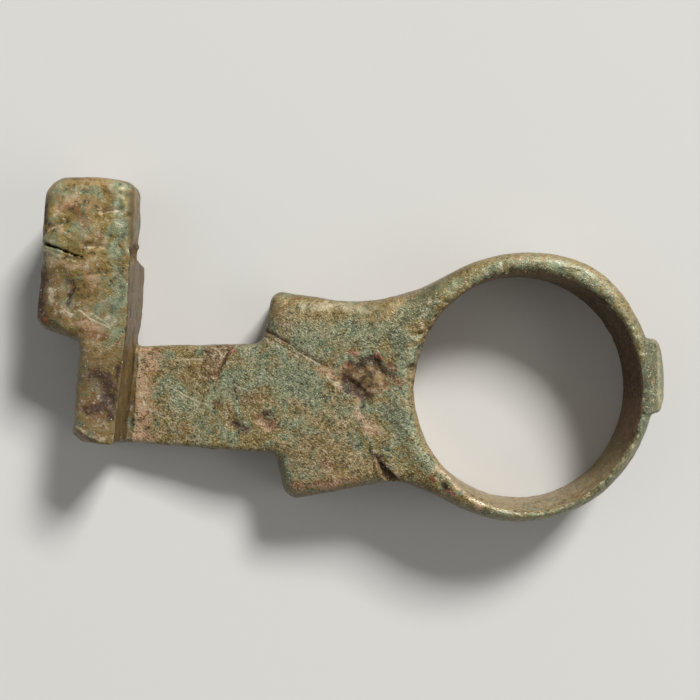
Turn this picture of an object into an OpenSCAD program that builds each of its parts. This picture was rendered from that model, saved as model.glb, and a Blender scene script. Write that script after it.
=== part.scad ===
// Finger-ring key of cast bronze, lying on its flat back.
// The hoop's bore runs along Z through the origin, the bit lies towards -X and rises towards +Z.
// All sizes are in millimetres.

/* [Hoop] */
// Inside diameter, the way for a finger
hoop_bore = 18; // [15:0.5:22]
// Length of the bore along the finger
hoop_depth = 7; // [6:0.25:9]
// Wall behind the bezel, the thinnest place
wall_at_bezel = 1; // [0.8:0.05:1.4]
// Wall in the seat of the shoulder plate, the thickest place
wall_at_plate = 2.2; // [1.8:0.05:3]
// Worn-down part of each outer rim, measured across the wall
rim_wear = 0.5; // [0.2:0.05:0.6]

/* [Bezel] */
// Turn of the bezel round the hoop, up from +X
bezel_turn = 5; // [0:1:15]
// Length round the hoop
bezel_length = 5.9; // [4:0.1:8]
// Space between an end of the bezel and the face of the hoop
bezel_inset = 0.35; // [0.2:0.05:1]
// Height of the crown above the hoop's outside
bezel_rise = 1.3; // [0.9:0.05:2]
// Height of the straight end walls above the hoop's outside
bezel_wall = 0.7; // [0.5:0.05:0.85]
// Height of the worn ends along the finger above the hoop's outside
bezel_end = 0.15; // [0.05:0.05:0.6]
// Depth let into the hoop's outside
bezel_seat = 0.3; // [0.2:0.05:0.4]

/* [Shoulder plate] */
// Distance from the hoop to the shoulders
plate_length = 9.4; // [7:0.1:14]
// Upper shoulder, measured up from the bore's axis
shoulder_up = 7.85; // [7:0.05:9]
// Lower shoulder, measured down from the bore's axis
shoulder_down = 9.15; // [8:0.05:10]
// Upper waist before its curve
waist_up = 6.55; // [5.5:0.05:6.8]
// Lower waist before its curve
waist_down = 7.1; // [6:0.05:7.5]
// Place of the upper waist, from the hoop's outside towards the shoulders
waist_up_at = 1.7; // [0.8:0.05:2.5]
// Place of the lower waist, from the hoop's outside towards the bore
waist_down_at = 0.7; // [0:0.05:1.5]
// Turn from +X at which the upper horn runs out into the hoop
horn_up_turn = 108; // [104:1:114]
// Turn from +X at which the lower horn runs out into the hoop
horn_down_turn = 114; // [110:1:118]
// Slant of the line between the two shoulders
shoulder_slant = 1.1; // [0:0.05:1.5]
// Drop of the plate's front below the hoop's front
plate_drop = 0.2; // [0:0.05:0.6]

/* [Shank] */
// Distance from the shoulders to the bit
shank_length = 11.6; // [8:0.1:18]
// Upper edge at the bit, measured up from the bore's axis
shank_up = 3.15; // [2.5:0.05:3.6]
// Lower edge at the bit, measured down from the bore's axis
shank_down = 4.5; // [3.5:0.05:5]
// Thickness at the bit
shank_thick = 2.5; // [2.2:0.05:3.5]

/* [Bit] */
// Length of the stem, from the lower edge of the shank
bit_length = 20.85; // [17:0.05:24]
// Height of the bit over the back
bit_height = 7; // [5.5:0.1:9]
// Width of the stem
stem_width = 3.5; // [3:0.05:5]
// Reach of the teeth beyond the stem
tooth_reach = 3.4; // [2.4:0.05:4.5]
// Place of the step under the lower tooth, up from the stem's foot
step_at = 8; // [6.5:0.05:9]
// Place of the slit between the teeth, up from the stem's foot
slit_at = 14.5; // [12.5:0.05:15]
// Width of the slit
slit_width = 0.35; // [0.2:0.05:0.6]
// Slope of the slit and of the step
cut_slope = 15; // [5:1:18]
// Lean of the bit towards the hoop
bit_lean = 4; // [0:0.5:6]
// Rounding of the front edges of the bit
bit_edge = 0.6; // [0.2:0.05:0.75]

/* [Joints] */
// Space left round a tenon for the joining metal
joint_gap = 0.05; // [0.02:0.01:0.1]
// Length of the hoop's tang in the plate
tang_length = 3; // [2:0.1:4]
// Length of the shank's tenon in the plate
plate_tenon = 2.5; // [1.5:0.1:3]
// Length of the shank's tenon in the stem
stem_tenon = 2; // [1.2:0.1:2.4]
// Length of a tooth's tenon in the stem
tooth_tenon = 0.8; // [0.5:0.05:0.9]

/* [Hidden] */
$fn = 96;
over = 1;
bore_r = hoop_bore / 2;
rim_r = bore_r + (wall_at_bezel + wall_at_plate) / 2;
rim_off = (wall_at_plate - wall_at_bezel) / 2;
rim_centre = [-rim_off, 0];
rim_height = 2.2 * rim_wear;
seat_x = -rim_off - rim_r;
step_x = seat_x - plate_length;
foot_x = step_x - shank_length;
foot_set = 0.3;
flare_up = 0.35;
flare_down = 0.8;
root_up = [step_x - shoulder_slant / 2, shank_up + flare_up];
root_down = [step_x + shoulder_slant / 2, -shank_down - flare_down];
back_edge = 0.35;
corner_r = 1;
waist_up_r = 12;
waist_down_r = 4;
horn_up_sunk = 0.8;
horn_down_sunk = 0.35;
step_draft = 0.8;
slit_top = slit_at + slit_width / 2;
slit_low = slit_at - slit_width / 2;
upper_middle = (slit_top + bit_length) / 2;
lower_middle = (step_at + slit_low) / 2;
tooth_rise = tooth_reach * tan(cut_slope);
bit_corner = 1.2;
tooth_corner = 0.8;
step_corner = 0.4;
tang_y = 5;
tang_z = [1.4, 3.8];
plate_tenon_y = 4.4;
plate_tenon_z = [0.9, 2.3];
stem_tenon_y = [1.4, 6.2];
stem_tenon_z = [0.6, 1.7];
tooth_tenon_y = 3;
tooth_tenon_z = [2, 5];

// Front of plate and shank: one plane that falls from the hoop to the bit
front_fall = (hoop_depth - plate_drop - shank_thick) / (seat_x - foot_x);
function neck_front(x) = shank_thick + front_fall * (x - foot_x);

function unit(v) = v / norm(v);

function shortest(a) = a > 180 ? a - 360 : a < -180 ? a + 360 : a;

// Arc of radius r in the corner c between the points a and b
function corner_arc(a, c, b, r) =
    let (u = unit(a - c))
    let (v = unit(b - c))
    let (half = acos(u * v) / 2)
    let (centre = c + unit(u + v) * r / sin(half))
    let (start = c + u * r / tan(half) - centre)
    let (end = c + v * r / tan(half) - centre)
    let (from = atan2(start.y, start.x))
    let (turn = shortest(atan2(end.y, end.x) - from))
    let (steps = ceil(abs(turn) / 10) + 1)
    [for (i = [0:steps]) centre + r * [cos(from + turn * i / steps), sin(from + turn * i / steps)]];

// Outline from corners [x, y, radius], listed anticlockwise
function outline(corners) =
    let (n = len(corners))
    let (at = [for (c = corners) [c.x, c.y]])
    [for (i = [0:n - 1])
        each corners[i].z == 0
            ? [at[i]]
            : corner_arc(at[(i + n - 1) % n], at[i], at[(i + 1) % n], corners[i].z)];

// Everything on the left of the line from a to b
module side_of(a, b) {
    along = unit(b - a) * 60;
    away = [-along.y, along.x];
    translate([0, 0, -over])
        linear_extrude(hoop_depth + bit_height)
            polygon([a - along, b + along, b + along + away, a - along + away]);
}

// Block between the given limits, grown all round for a mortise
module block(x, y, z, grow = 0) {
    translate([x[0] - grow, y[0] - grow, z[0] - grow])
        cube([x[1] - x[0] + 2 * grow, y[1] - y[0] + 2 * grow, z[1] - z[0] + 2 * grow]);
}

// Places what is drawn in the bit's own frame on the end of the shank
module in_bit() {
    translate([foot_x - foot_set, -shank_down, 0])
        rotate(-bit_lean)
            children();
}

// Solid disc with worn rims that the hoop is bored from
module hoop_disc() {
    rim = [for (a = [0:22.5:90]) [rim_r - rim_wear * (1 - sin(a)), rim_height * (1 - cos(a))]];
    translate([-rim_off, 0, 0])
        rotate_extrude()
            polygon([
                [0, 0],
                each rim,
                for (i = [len(rim) - 1:-1:0]) [rim[i].x, hoop_depth - rim[i].y],
                [0, hoop_depth]
            ]);
}

// Room for the hoop in the shoulder plate
module hoop_seat() {
    translate([-rim_off, 0, -over])
        cylinder(r = rim_r, h = 2 * hoop_depth);
}

module hoop_tang(grow = 0) {
    block([seat_x - tang_length, seat_x + wall_at_plate / 2], [-tang_y / 2, tang_y / 2], tang_z, grow);
}

// Radius of the arc that rises by sag over a chord
function crown_radius(chord, sag) = (chord * chord / 4 + sag * sag) / (2 * sag);

// Cushion under its crown, hollowed below to sit on the curve of the hoop
module bezel_block() {
    crown = rim_r - rim_off + bezel_rise;
    round_hoop = crown_radius(bezel_length, bezel_rise - bezel_wall);
    along_finger = crown_radius(hoop_depth - 2 * bezel_inset, bezel_rise - bezel_end);
    difference() {
        rotate(bezel_turn)
            intersection() {
                block([bore_r / 2, crown + over], [-bezel_length / 2, bezel_length / 2],
                      [bezel_inset, hoop_depth - bezel_inset]);
                translate([crown - round_hoop, 0, 0])
                    cylinder(r = round_hoop, h = hoop_depth);
                translate([crown - along_finger, 0, hoop_depth / 2])
                    rotate([90, 0, 0])
                        cylinder(r = along_finger, h = 2 * bezel_length, center = true);
            }
        translate([-rim_off, 0, -over])
            cylinder(r = rim_r - bezel_seat, h = 2 * hoop_depth);
    }
}

// Plate and shank in one outline, under the sloping front
module neck() {
    end_x = foot_x - 3;
    horn_up = rim_centre + (rim_r - horn_up_sunk) * [cos(horn_up_turn), sin(horn_up_turn)];
    horn_down = rim_centre + (rim_r - horn_down_sunk) * [cos(horn_down_turn), -sin(horn_down_turn)];
    intersection() {
        linear_extrude(2 * hoop_depth)
            polygon(outline([
                [end_x, -shank_down, 0],
                [root_down.x, root_down.y, corner_r],
                [root_down.x + step_draft, -shoulder_down, corner_r],
                [seat_x + waist_down_at, -waist_down, waist_down_r],
                [horn_down.x, horn_down.y, 0],
                [rim_centre.x, rim_centre.y, 0],
                [horn_up.x, horn_up.y, 0],
                [seat_x - waist_up_at, waist_up, waist_up_r],
                [root_up.x + step_draft, shoulder_up, corner_r],
                [root_up.x, root_up.y, corner_r],
                [end_x, shank_up, 0]
            ]));
        rotate([90, 0, 0])
            linear_extrude(4 * hoop_bore, center = true)
                polygon([
                    [end_x, 0],
                    [0, 0],
                    [0, neck_front(seat_x)],
                    [seat_x, neck_front(seat_x)],
                    [end_x, neck_front(end_x)]
                ]);
    }
}

module shank_tenon(grow = 0) {
    mid = (shank_up - shank_down) / 2;
    block([step_x - over, step_x + plate_tenon],
          [mid - plate_tenon_y / 2, mid + plate_tenon_y / 2], plate_tenon_z, grow);
}

module foot_tenon(grow = 0) {
    in_bit()
        block([-stem_tenon, over], stem_tenon_y, stem_tenon_z, grow);
}

// Section of a bar with worn corners, from 0 to -width and from 0 to bit_height
function bar_section(width) =
    outline([
        [-width, 0, back_edge],
        [0, 0, back_edge],
        [0, bit_height, bit_edge],
        [-width, bit_height, bit_edge]
    ]);

// Stem and teeth in one outline with worn edges, right face on the local Y axis
module bit() {
    width = stem_width + tooth_reach;
    intersection() {
        linear_extrude(bit_height)
            polygon(outline([
                [0, 0, step_corner],
                [0, bit_length, bit_corner],
                [-width, bit_length, bit_corner],
                [-width, step_at + tooth_rise, tooth_corner],
                [-stem_width, step_at, step_corner],
                [-stem_width, 0, tooth_corner]
            ]));
        rotate([90, 0, 0])
            linear_extrude(4 * bit_length, center = true)
                polygon(bar_section(width));
        translate([0, bit_length, 0])
            rotate([90, 0, 90])
                linear_extrude(4 * width, center = true)
                    polygon(bar_section(bit_length));
    }
}

module tooth_tenon(middle, grow = 0) {
    block([-stem_width - over, -stem_width + tooth_tenon],
          [middle - tooth_tenon_y / 2, middle + tooth_tenon_y / 2], tooth_tenon_z, grow);
}

// Part of the bit beyond the stem, between two sloping cuts, with its tenon
module tooth(low, top, middle) {
    in_bit()
        union() {
            intersection() {
                bit();
                side_of([-stem_width, 0], [-stem_width, 1]);
                side_of([-stem_width, low], [-stem_width + 1, low - tan(cut_slope)]);
                side_of([-stem_width, top], [-stem_width - 1, top + tan(cut_slope)]);
            }
            tooth_tenon(middle);
        }
}

module hoop() {
    color("#6b7058")
        difference() {
            union() {
                hoop_disc();
                hoop_tang();
            }
            translate([0, 0, -over])
                cylinder(r = bore_r, h = hoop_depth + 2 * over);
            bezel_block();
        }
}

module bezel() {
    color("#8a8465")
        bezel_block();
}

module shoulder_plate() {
    color("#72765d")
        difference() {
            intersection() {
                neck();
                side_of(root_up, root_down);
            }
            hoop_seat();
            hoop_tang(joint_gap);
            shank_tenon(joint_gap);
        }
}

module shank() {
    color("#7b7860")
        union() {
            intersection() {
                neck();
                side_of(root_down, root_up);
                in_bit() side_of([0, 1], [0, 0]);
            }
            shank_tenon();
            foot_tenon();
        }
}

module bit_stem() {
    color("#6a6a57")
        difference() {
            in_bit()
                intersection() {
                    bit();
                    side_of([-stem_width, 1], [-stem_width, 0]);
                }
            foot_tenon(joint_gap);
            in_bit() tooth_tenon(upper_middle, joint_gap);
            in_bit() tooth_tenon(lower_middle, joint_gap);
        }
}

module bit_upper_tooth() {
    color("#64685a")
        tooth(slit_top, bit_length + 9, upper_middle);
}

module bit_lower_tooth() {
    color("#6d675a")
        tooth(step_at - 9, slit_low, lower_middle);
}

hoop();
bezel();
shoulder_plate();
shank();
bit_stem();
bit_upper_tooth();
bit_lower_tooth();
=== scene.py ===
import math

import bpy
import numpy as np
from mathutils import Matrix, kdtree


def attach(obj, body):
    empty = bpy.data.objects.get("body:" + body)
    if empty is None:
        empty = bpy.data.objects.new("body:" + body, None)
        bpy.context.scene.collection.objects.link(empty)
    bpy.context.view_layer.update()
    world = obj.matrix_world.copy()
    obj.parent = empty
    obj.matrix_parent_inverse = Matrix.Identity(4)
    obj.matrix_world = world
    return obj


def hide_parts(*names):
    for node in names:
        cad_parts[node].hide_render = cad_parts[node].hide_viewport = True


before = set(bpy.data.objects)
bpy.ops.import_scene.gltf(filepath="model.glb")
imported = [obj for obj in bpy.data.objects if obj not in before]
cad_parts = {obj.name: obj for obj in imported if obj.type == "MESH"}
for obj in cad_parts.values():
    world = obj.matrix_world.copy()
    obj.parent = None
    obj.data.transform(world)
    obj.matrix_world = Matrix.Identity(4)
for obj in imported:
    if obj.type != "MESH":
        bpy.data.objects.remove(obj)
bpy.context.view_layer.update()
mm = 0.001  # shapes are worked out in millimetres and stored in metres
print("frame loaded:", len(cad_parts), "solids")


# Plan outlines: a corner is x, y and the radius of its arc

def unit(v):
    return v / np.linalg.norm(v)


def roundedOutline(corners):
    points = []
    for i, (x, y, r) in enumerate(corners):
        c = np.array([x, y], float)
        if not r:
            points.append(c)
            continue
        a = unit(np.array(corners[i - 1][:2]) - c)
        b = unit(np.array(corners[(i + 1) % len(corners)][:2]) - c)
        half = math.acos(np.dot(a, b)) / 2
        mid = c + unit(a + b) * r / math.sin(half)
        start = c + a * r / math.tan(half) - mid
        end = c + b * r / math.tan(half) - mid
        first = math.atan2(start[1], start[0])
        turn = (math.atan2(end[1], end[0]) - first + math.pi) % math.tau - math.pi
        for t in np.linspace(0, 1, 12):
            points.append(mid + r * np.array([math.cos(first + turn * t), math.sin(first + turn * t)]))
    return np.array(points)


def planField(points, x, y):
    # signed distance to a closed outline, negative inside
    nearest = np.full(x.shape, 1e9)
    inside = np.zeros(x.shape, bool)
    for p, q in zip(points, np.roll(points, -1, axis=0)):
        e = q - p
        wx, wy = x - p[0], y - p[1]
        t = np.clip((wx * e[0] + wy * e[1]) / (e @ e), 0, 1)
        nearest = np.minimum(nearest, (wx - t * e[0]) ** 2 + (wy - t * e[1]) ** 2)
        if abs(e[1]) > 1e-9:
            inside ^= ((p[1] > y) != (q[1] > y)) & (wx < e[0] * wy / e[1])
    return np.where(inside, -1, 1) * np.sqrt(nearest)


# Ways to join two distance fields

def roundMax(a, b, r):
    return np.minimum(np.maximum(a, b), -r) + np.hypot(np.maximum(a + r, 0), np.maximum(b + r, 0))


def smoothMin(a, b, k):
    h = np.clip(0.5 + 0.5 * (b - a) / k, 0, 1)
    return b + (a - b) * h - k * h * (1 - h)


def smoothStep(lo, hi, v):
    t = np.clip((v - lo) / (hi - lo), 0, 1)
    return t * t * (3 - 2 * t)


def mixCorners(table, base, f):
    # value inside a cell of a table, from the eight corners; the table repeats past its end
    total = np.zeros(len(f))
    for corner in np.ndindex(2, 2, 2):
        weight = np.prod([f[:, k] if corner[k] else 1 - f[:, k] for k in range(3)], axis=0)
        at = (base + corner) % table.shape
        total += weight * table[at[:, 0], at[:, 1], at[:, 2]]
    return total


def lumps(p, size, seed):
    # smooth random field from -1 to 1 with features about size across
    table = np.random.default_rng(seed).uniform(-1, 1, (64, 64, 64))
    q = p / size + 1000
    base = np.floor(q).astype(int)
    f = q - base
    return mixCorners(table, base, f * f * (3 - 2 * f))


# Grid that the worn casting is worked out on

grid = {"step": 0.12, "low": (-40.2, -12.3, -0.72), "high": (12.9, 18.2, 7.9)}
axes = [np.arange(lo, hi, grid["step"]) for lo, hi in zip(grid["low"], grid["high"])]
planX, planY = np.meshgrid(axes[0], axes[1], indexing="ij")
height = axes[2][None, None, :].astype(np.float32)


def solid(plan):
    return plan.astype(np.float32)[:, :, None]


hoop = {
    "bore": (8.9, 9.2), "boreAt": (-0.1, -0.15),
    "rim": 10.6, "rimAt": -0.6, "depth": 7.0,
    "outerEdge": 1.1, "innerEdge": (0.5, 0.9), "backEdge": 0.6,
    "swell": 0.5, "swellTurn": (61, 23),  # the rim stands out at the upper right, middle and spread
    "worn": 0.6, "wornTurn": (-42, 30),  # its edge is worn further down below the bezel
    "flare": 0.38, "flareFrom": (3.2, 7.2),  # the lower inner wall opens towards the front
    "boreEdge": 9.3,  # radius of the bore's front edge
}
aroundHoop = np.degrees(np.arctan2(planY, planX))


def nearTurn(middle, spread):
    return np.exp(-((aroundHoop - middle) / spread) ** 2)


def hoopField():
    swell = hoop["swell"] * nearTurn(*hoop["swellTurn"])
    rim = solid(np.hypot(planX - hoop["rimAt"], planY) - hoop["rim"] - swell)
    edge = solid(hoop["outerEdge"] + hoop["worn"] * nearTurn(*hoop["wornTurn"]))
    return np.maximum(roundMax(rim, height - hoop["depth"], edge), roundMax(rim, -height, hoop["backEdge"]))


def cutBore(field):
    (a, b), (cx, cy) = hoop["bore"], hoop["boreAt"]
    bore = solid((1 - np.hypot((planX - cx) / a, (planY - cy) / b)) * min(a, b))
    low = smoothStep(-150, -115, aroundHoop) * (0.35 + 0.65 * smoothStep(-45, -80, aroundHoop))
    low = low * smoothStep(-8, -25, aroundHoop)
    bore = bore + solid(hoop["flare"] * low) * smoothStep(*hoop["flareFrom"], height)
    crisp, worn = hoop["innerEdge"]
    left = smoothStep(-5.5, -7.5, planX)  # fingers have rounded the side next to the plate
    return roundMax(field, bore, solid(crisp + (worn - crisp) * left))


bezel = {
    "turn": 3, "along": 0.4, "length": 5.9, "depth": 6.3, "edge": 0.35, "seat": 9.3,
    "top": 11.3, "sag": 0.95, "dome": 1.5,  # height of the crown, its fall round the hoop and along the finger
}


def bezelField():
    a = math.radians(bezel["turn"])
    x = planX * math.cos(a) + planY * math.sin(a)
    y = planY * math.cos(a) - planX * math.sin(a) - bezel["along"]
    half, deep = bezel["length"] / 2, bezel["depth"] / 2
    across = (half ** 2 + bezel["sag"] ** 2) / (2 * bezel["sag"])
    along = (deep ** 2 + bezel["dome"] ** 2) / (2 * bezel["dome"])
    z = height - hoop["depth"] / 2
    crown = solid(np.hypot(x - bezel["top"] + across, y) - across)
    dome = np.hypot(solid(x - bezel["top"] + along), z) - along
    field = roundMax(roundMax(crown, dome, 0.3), solid(np.abs(y) - half), bezel["edge"])
    field = np.maximum(field, np.abs(z) - deep)
    return np.maximum(field, solid(bezel["seat"] - x))


neck = {
    "foot": -32.2, "thick": 2.5, "seat": -11.2, "front": 6.8,
    "shankEdge": 0.45, "plateEdge": 1.15, "backEdge": 0.45,
    "corners": [
        (-35, -4.5, 0), (-20.05, -5.3, 1.0), (-19.25, -9.15, 1.1), (-10.5, -7.4, 3.2),
        (-4.75, -9.36, 0), (-0.6, 0, 0), (-3.63, 9.32, 0), (-12.9, 6.55, 12),
        (-20.35, 7.85, 1.0), (-21.15, 3.5, 1.0), (-35, 3.15, 0),
    ],
}


def neckTop(x):
    fall = (neck["front"] - neck["thick"]) / (neck["seat"] - neck["foot"])
    return np.minimum(neck["front"], neck["thick"] + fall * (x - neck["foot"]))


def neckField():
    plan = solid(planField(roundedOutline(neck["corners"]), planX, planY))
    wide = smoothStep(-22.5, -19.5, planX)
    edge = solid(neck["shankEdge"] + (neck["plateEdge"] - neck["shankEdge"]) * wide)
    front = height - solid(neckTop(planX))
    return np.maximum(roundMax(plan, front, edge), roundMax(plan, -height, neck["backEdge"]))


bit = {
    "foot": (-32.5, -4.5), "lean": 4, "high": 7.0, "stem": 3.5,
    "edge": (0.22, 1.0), "backEdge": 0.35,
    "slit": (14.48, 0.29, 0.055),  # height at the stem, rise towards the left, half width at the front
    "corners": [
        (-0.12, 0, 0.4), (0.2, 6.5, 8), (0.2, 11.5, 8), (0.12, 20.8, 1.05), (-3.2, 21.0, 9),
        (-6.95, 20.62, 1.8), (-7.05, 8.85, 0.9), (-3.5, 7.9, 0.4), (-3.48, 0, 0.8),
    ],
    "backBreak": (3.3, 14.5, 0.15),  # corner off the back of the right side: depth, start and slant
    "footBite": ((0.8, 8.1), 1.3),  # a little off the back at the shank, place and size
    "notch": ((0.45, 15.1, 5.3), 0.8),  # bite in the right side
    "chip": ((-2.3, 0.5, 7), (-0.42, -0.8, 0.42)),  # lower left corner, a point on the break and where it faces
    "burrs": [((-0.1, 15.8, 4.0), 1.7, 0.26), ((-0.1, 19.3, 4.6), 1.0, 0.34)],  # place, stretch, size
}


def inBit(x, y):
    a = math.radians(bit["lean"])
    x, y = x - bit["foot"][0], y - bit["foot"][1]
    return x * math.cos(a) - y * math.sin(a), x * math.sin(a) + y * math.cos(a)


def bitField():
    u, v = inBit(planX, planY)
    plan = solid(planField(roundedOutline(bit["corners"]), u, v))
    sharp, worn = bit["edge"]
    soft = np.maximum(smoothStep(-1.0, -2.8, u), smoothStep(14.9, 16.2, v))
    edge = solid(sharp + (worn - sharp) * soft)
    low = smoothStep(-3.6, -6.6, u) * smoothStep(15.2, 14.2, v)  # the lower tooth falls away to the left
    right = smoothStep(-1.3, 0, u)
    front = height - solid(bit["high"] - 0.4 * low - 0.12 * right)
    field = np.maximum(roundMax(plan, front, edge), roundMax(plan, -height, bit["backEdge"]))
    u, v = solid(u), solid(v)
    depth, start, slant = bit["backBreak"]
    broken = (u - height + depth) / math.sqrt(2)
    field = roundMax(field, np.minimum(broken, v - start - slant * height), 0.2)
    at, size = bit["footBite"]
    field = roundMax(field, size - np.sqrt((u - at[0]) ** 2 + (v - at[1]) ** 2 + height ** 2), 0.2)
    at, size = bit["notch"]
    notch = size - np.sqrt((u - at[0]) ** 2 + (v - at[1]) ** 2 + (0.55 * (height - at[2])) ** 2)
    field = roundMax(field, notch, 0.12)
    at, lean = bit["chip"][0], np.array(bit["chip"][1])
    chip = (u - at[0]) * lean[0] + (v - at[1]) * lean[1] + (height - at[2]) * lean[2]
    field = roundMax(field, chip, 0.2)
    for at, long, size in bit["burrs"]:
        burr = np.sqrt(((u - at[0]) / long) ** 2 + (v - at[1]) ** 2 + (height - at[2]) ** 2) - size
        field = smoothMin(field, burr, 0.3)
    at, rise, half = bit["slit"]
    waver = 0.03 * np.sin(2.6 * u + 0.7) + 0.02 * np.sin(7.1 * u)
    slit = np.abs(v - at + rise * (u + bit["stem"]) + waver) / math.hypot(1, rise)
    gape = half * (2 * smoothStep(5.0, 6.5, height) - 1) + 0.035 * smoothStep(6.2, 7.0, height)
    gape = gape * (0.55 + 0.45 * smoothStep(-3.6, -5.5, u))
    cut = np.maximum(slit - gape, u + bit["stem"] + 0.05)
    return roundMax(field, -cut, 0.1)


# Nicks cut by one blow: a steep wall from the tip to the deep corner, and a flank that rises from it
nicks = {
    "shank": {"tip": (-24.95, 0.55), "deep": (-23.6, 3.3), "flank": (-25.4, 3.1), "depth": 0.55},
    "plate": {"tip": (-12.2, -5.25), "deep": (-10.85, -6.65), "flank": (-11.95, -6.35), "depth": 1.0},
}


def nickField(nick, x, y, z):
    # positive in the metal that the blow took away
    tip, deep, flank = (np.array(nick[k] + (neckTop(nick[k][0]),)) for k in ("tip", "deep", "flank"))
    deep[2] -= nick["depth"]
    wall = unit(np.array([tip[1] - deep[1], deep[0] - tip[0]]))
    wall = wall * np.sign(wall @ (flank - tip)[:2])
    rise = unit(np.cross(flank - tip, deep - tip))
    rise = rise * np.sign(rise[2])
    fromWall = (x - tip[0]) * wall[0] + (y - tip[1]) * wall[1]
    overFlank = (x - tip[0]) * rise[0] + (y - tip[1]) * rise[1] + (z - tip[2]) * rise[2]
    return np.minimum(fromWall, overFlank)


casting = smoothMin(hoopField(), neckField(), 0.7)
casting = cutBore(smoothMin(casting, bezelField(), 0.3))
for nick in nicks.values():
    casting = roundMax(casting, nickField(nick, solid(planX), solid(planY), height), 0.08)
casting = smoothMin(casting, bitField(), 0.5)
print("casting worked out on", casting.shape, "points")


def surfaceNet(field):
    # one vertex in each cell that the surface passes through, one face across each edge that it cuts
    inside = field < 0
    cells = tuple(n - 1 for n in field.shape)

    def at(grid3, c):
        return grid3[tuple(slice(k, k + n) for k, n in zip(c, cells))]

    count = sum(at(inside, c).astype(np.int8) for c in np.ndindex(2, 2, 2))
    active = (count > 0) & (count < 8)
    number = np.full(cells, -1, np.int64)
    number[active] = np.arange(active.sum())
    total = np.zeros((active.sum(), 3))
    hits = np.zeros(active.sum())
    for axis in range(3):
        for c in np.ndindex(2, 2, 2):
            if c[axis]:
                continue
            d = tuple(1 if k == axis else n for k, n in enumerate(c))
            fa, fb = at(field, c)[active], at(field, d)[active]
            cuts = (fa < 0) != (fb < 0)
            t = np.where(cuts, fa / np.where(cuts, fa - fb, 1), 0)
            spot = np.repeat(np.array([c], float), len(t), axis=0)
            spot[:, axis] += t
            total += spot * cuts[:, None]
            hits += cuts
    verts = (np.argwhere(active) + total / hits[:, None]) * grid["step"] + np.array(grid["low"])
    faces = []
    for axis in range(3):
        b, c = (axis + 1) % 3, (axis + 2) % 3
        lo = np.take(inside, range(field.shape[axis] - 1), axis)
        hi = np.take(inside, range(1, field.shape[axis]), axis)
        for solidFirst in (True, False):
            where = np.argwhere((lo & ~hi) if solidFirst else (~lo & hi))
            ring = []
            for db, dc in ((-1, -1), (0, -1), (0, 0), (-1, 0)):
                cell = where.copy()
                cell[:, b] += db
                cell[:, c] += dc
                ring.append(number[cell[:, 0], cell[:, 1], cell[:, 2]])
            faces.append(np.stack(ring if solidFirst else ring[::-1], axis=1))
    return verts, np.concatenate(faces)


verts, faces = surfaceNet(casting)


def vertexNormals(verts, faces):
    across = np.cross(verts[faces[:, 2]] - verts[faces[:, 0]], verts[faces[:, 3]] - verts[faces[:, 1]])
    total = np.zeros_like(verts)
    for k in range(4):
        for axis in range(3):
            total[:, axis] += np.bincount(faces[:, k], across[:, axis], len(verts))
    return total / np.linalg.norm(total, axis=1)[:, None]


normals = vertexNormals(verts, faces)
print("surface:", len(verts), "points,", len(faces), "faces")


# How far a place is an edge or a hollow: the share of metal in a small box round it

def metalShare(field, reach):
    share = (field < 0).astype(np.float32)
    n = 2 * reach + 1
    for axis in range(3):
        pad = [(reach + 1, reach) if k == axis else (0, 0) for k in range(3)]
        run = np.cumsum(np.pad(share, pad), axis=axis)
        size = share.shape[axis]
        share = (np.take(run, range(n, n + size), axis) - np.take(run, range(size), axis)) / n
    return share


def sample(field, p):
    q = (p - np.array(grid["low"])) / grid["step"]
    base = np.clip(np.floor(q).astype(int), 0, np.array(field.shape) - 2)
    return mixCorners(field, base, q - base)


share = sample(metalShare(casting, 5), verts)
wear = smoothStep(0.07, 0.22, 0.5 - share)
hollowAndShade = smoothStep(0.05, 0.2, share - 0.5)


# Marks on the front: cuts are a path, half width, depth and the height of the lip thrown up beside it

u, v = inBit(verts[:, 0], verts[:, 1])
frontness = smoothStep(0.15, 0.55, normals[:, 2])
onBit = (u < 0.6) & (v > -0.5)


def pathDistance(path, x, y):
    best = np.full(len(x), 1e9)
    side = np.zeros(len(x))
    for p, q in zip(path[:-1], path[1:]):
        ex, ey = q[0] - p[0], q[1] - p[1]
        t = np.clip(((x - p[0]) * ex + (y - p[1]) * ey) / (ex * ex + ey * ey), 0, 1)
        dx, dy = x - p[0] - t * ex, y - p[1] - t * ey
        d = np.hypot(dx, dy)
        side = np.where(d < best, np.sign(ex * dy - ey * dx), side)
        best = np.minimum(best, d)
    return best, side


neckCuts = {
    "plateGroove": (
        [(-21.2, 4.7), (-20.4, 4.3), (-18.82, 3.38), (-17.3, 2.36), (-16.4, 1.9)], 0.14, 0.11, 0.01),
    "grooveStart": ([(-21.2, 4.7), (-20.2, 4.15), (-19.2, 3.6)], 0.2, 0.07, 0),
    "secondGroove": ([(-21.4, 4.2), (-20.4, 3.9), (-18.95, 3.0), (-17.9, 2.4)], 0.14, 0.08, 0),
    "pitRidge": ([(-16.4, 0.65), (-15.5, 0.25), (-14.6, -0.15)], 0.34, -0.05, 0),
    "pitCut": ([(-14.8, 0.75), (-14.1, 0.3), (-13.2, -0.4), (-12.8, -0.9)], 0.34, 0.1, 0),
    "hornRidge": ([(-7.2, -6.5), (-5.3, -8.0), (-3.3, -9.2)], 0.35, -0.1, 0),
}
bitCuts = {
    "upperFacet": ([(-6.9, 16.1), (-5.9, 16.7), (-5.0, 17.1)], 0.22, 0.14, 0.04),
    "toothCrease": ([(-5.1, 13.1), (-4.75, 12.4), (-4.1, 10.35), (-3.7, 8.6)], 0.5, 0.17, 0.03),
    "topNick": ([(-2.2, 18.15), (-0.8, 18.45)], 0.2, 0.2, 0.05),
    "midNick": ([(-3.3, 15.45), (-1.8, 15.4)], 0.2, 0.15, 0.04),
}
shift = np.zeros(len(verts))
depthMark = np.zeros(len(verts))


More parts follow.
